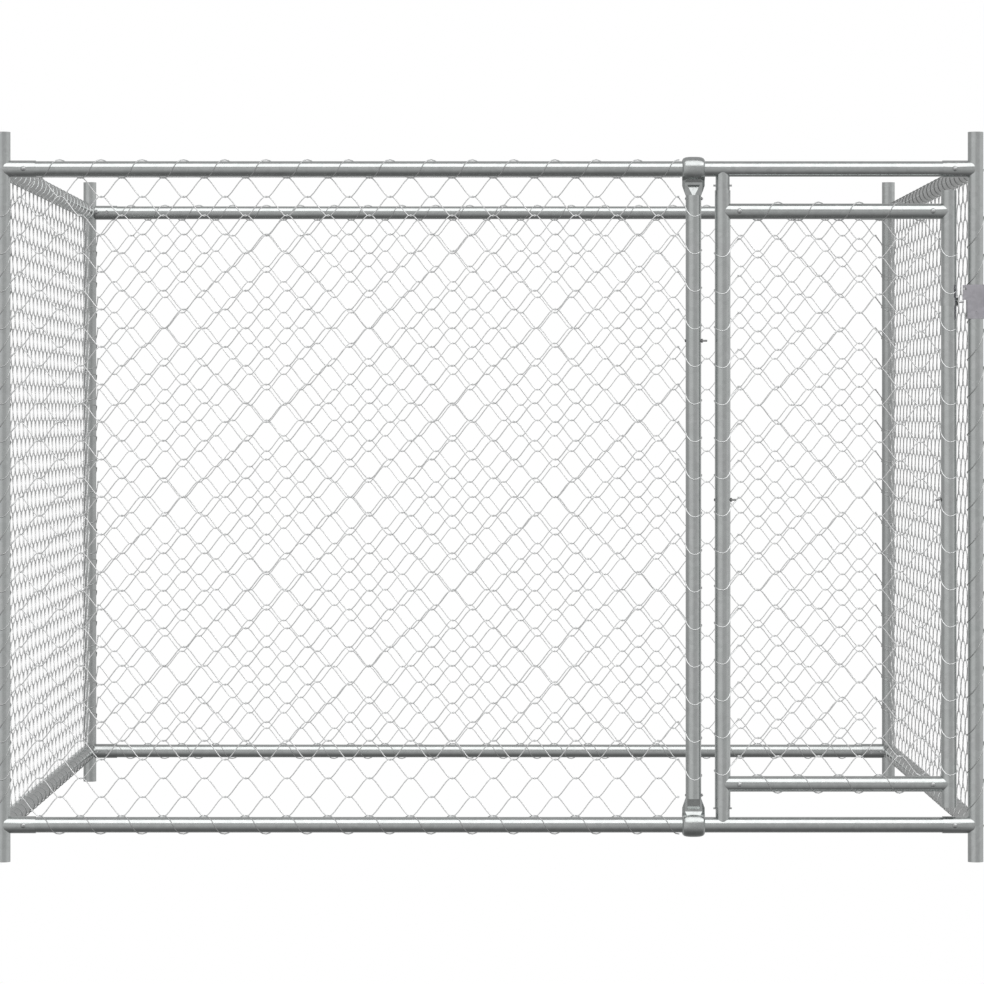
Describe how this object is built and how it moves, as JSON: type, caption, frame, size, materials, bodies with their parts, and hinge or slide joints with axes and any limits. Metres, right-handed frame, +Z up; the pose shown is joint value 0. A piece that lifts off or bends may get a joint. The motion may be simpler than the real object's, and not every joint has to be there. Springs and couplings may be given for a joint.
{
  "type": "outdoor dog kennel run",
  "caption": "Square kennel run of bolted steel tube with chain-link walls, a mesh door that turns on pivot stubs, and a sliding rod latch; open top and floor.",
  "frame": {"origin": "on the ground, midway between the four corner posts", "axes": "+X to the right of someone facing the door, +Y from the door wall to the rear, +Z up"},
  "size_m": [2.0465, 2.0456, 1.5],
  "materials": {
    "galvanised_tube": "hot-dip galvanised, satin",
    "zinc_fastener": "bright zinc plate",
    "cast_clamp": "galvanised casting, smooth",
    "latch_plate": "galvanised sheet, dull",
    "chain_link": "galvanised wire"
  },
  "bodies": {
    "frame": {"post_front_left": "galvanised_tube", "post_front_right": "galvanised_tube", "post_rear_left": "galvanised_tube", "post_rear_right": "galvanised_tube", "rail_front_top": "galvanised_tube", "rail_front_bottom": "galvanised_tube", "rail_rear_top": "galvanised_tube", "rail_rear_bottom": "galvanised_tube", "rail_left_top": "galvanised_tube", "rail_left_bottom": "galvanised_tube", "rail_right_top": "galvanised_tube", "rail_right_bottom": "galvanised_tube", "rail_bolts": "zinc_fastener", "rail_nuts": "zinc_fastener", "mid_post": "galvanised_tube", "mid_post_bolt": "zinc_fastener", "mid_post_nut": "zinc_fastener", "tee_clamp_top": "cast_clamp", "tee_clamp_bottom": "cast_clamp", "tee_clamp_bolts": "zinc_fastener", "tee_clamp_nuts": "zinc_fastener", "hinge_pivot_top": "galvanised_tube", "hinge_pivot_bottom": "galvanised_tube", "hinge_pins": "zinc_fastener", "latch_keeper": "latch_plate", "keeper_bolts": "zinc_fastener", "keeper_nuts": "zinc_fastener", "mesh_front": "chain_link", "mesh_rear": "chain_link", "mesh_left": "chain_link", "mesh_right": "chain_link"},
    "door": {"door_hinge_stile": "galvanised_tube", "door_latch_stile": "galvanised_tube", "door_rail_top": "galvanised_tube", "door_rail_bottom": "galvanised_tube", "door_bolts": "zinc_fastener", "door_nuts": "zinc_fastener", "stile_bolts": "zinc_fastener", "stile_nuts": "zinc_fastener", "mesh_door": "chain_link", "latch_band": "galvanised_tube", "latch_guide": "zinc_fastener"},
    "latch": {"latch_rod": "zinc_fastener", "latch_thumb_plate": "latch_plate"}
  },
  "joints": [
    {"name": "door_hinge", "type": "hinge", "parent": "frame", "child": "door", "pos_m": [0.48, -1, 0.112], "axis": [0, 0, -1], "range_deg": [-90, 130]},
    {"name": "latch_slide", "type": "slide", "parent": "door", "child": "latch", "axis": [1, 0, 0], "range_m": [0, 0.012]}
  ]
}
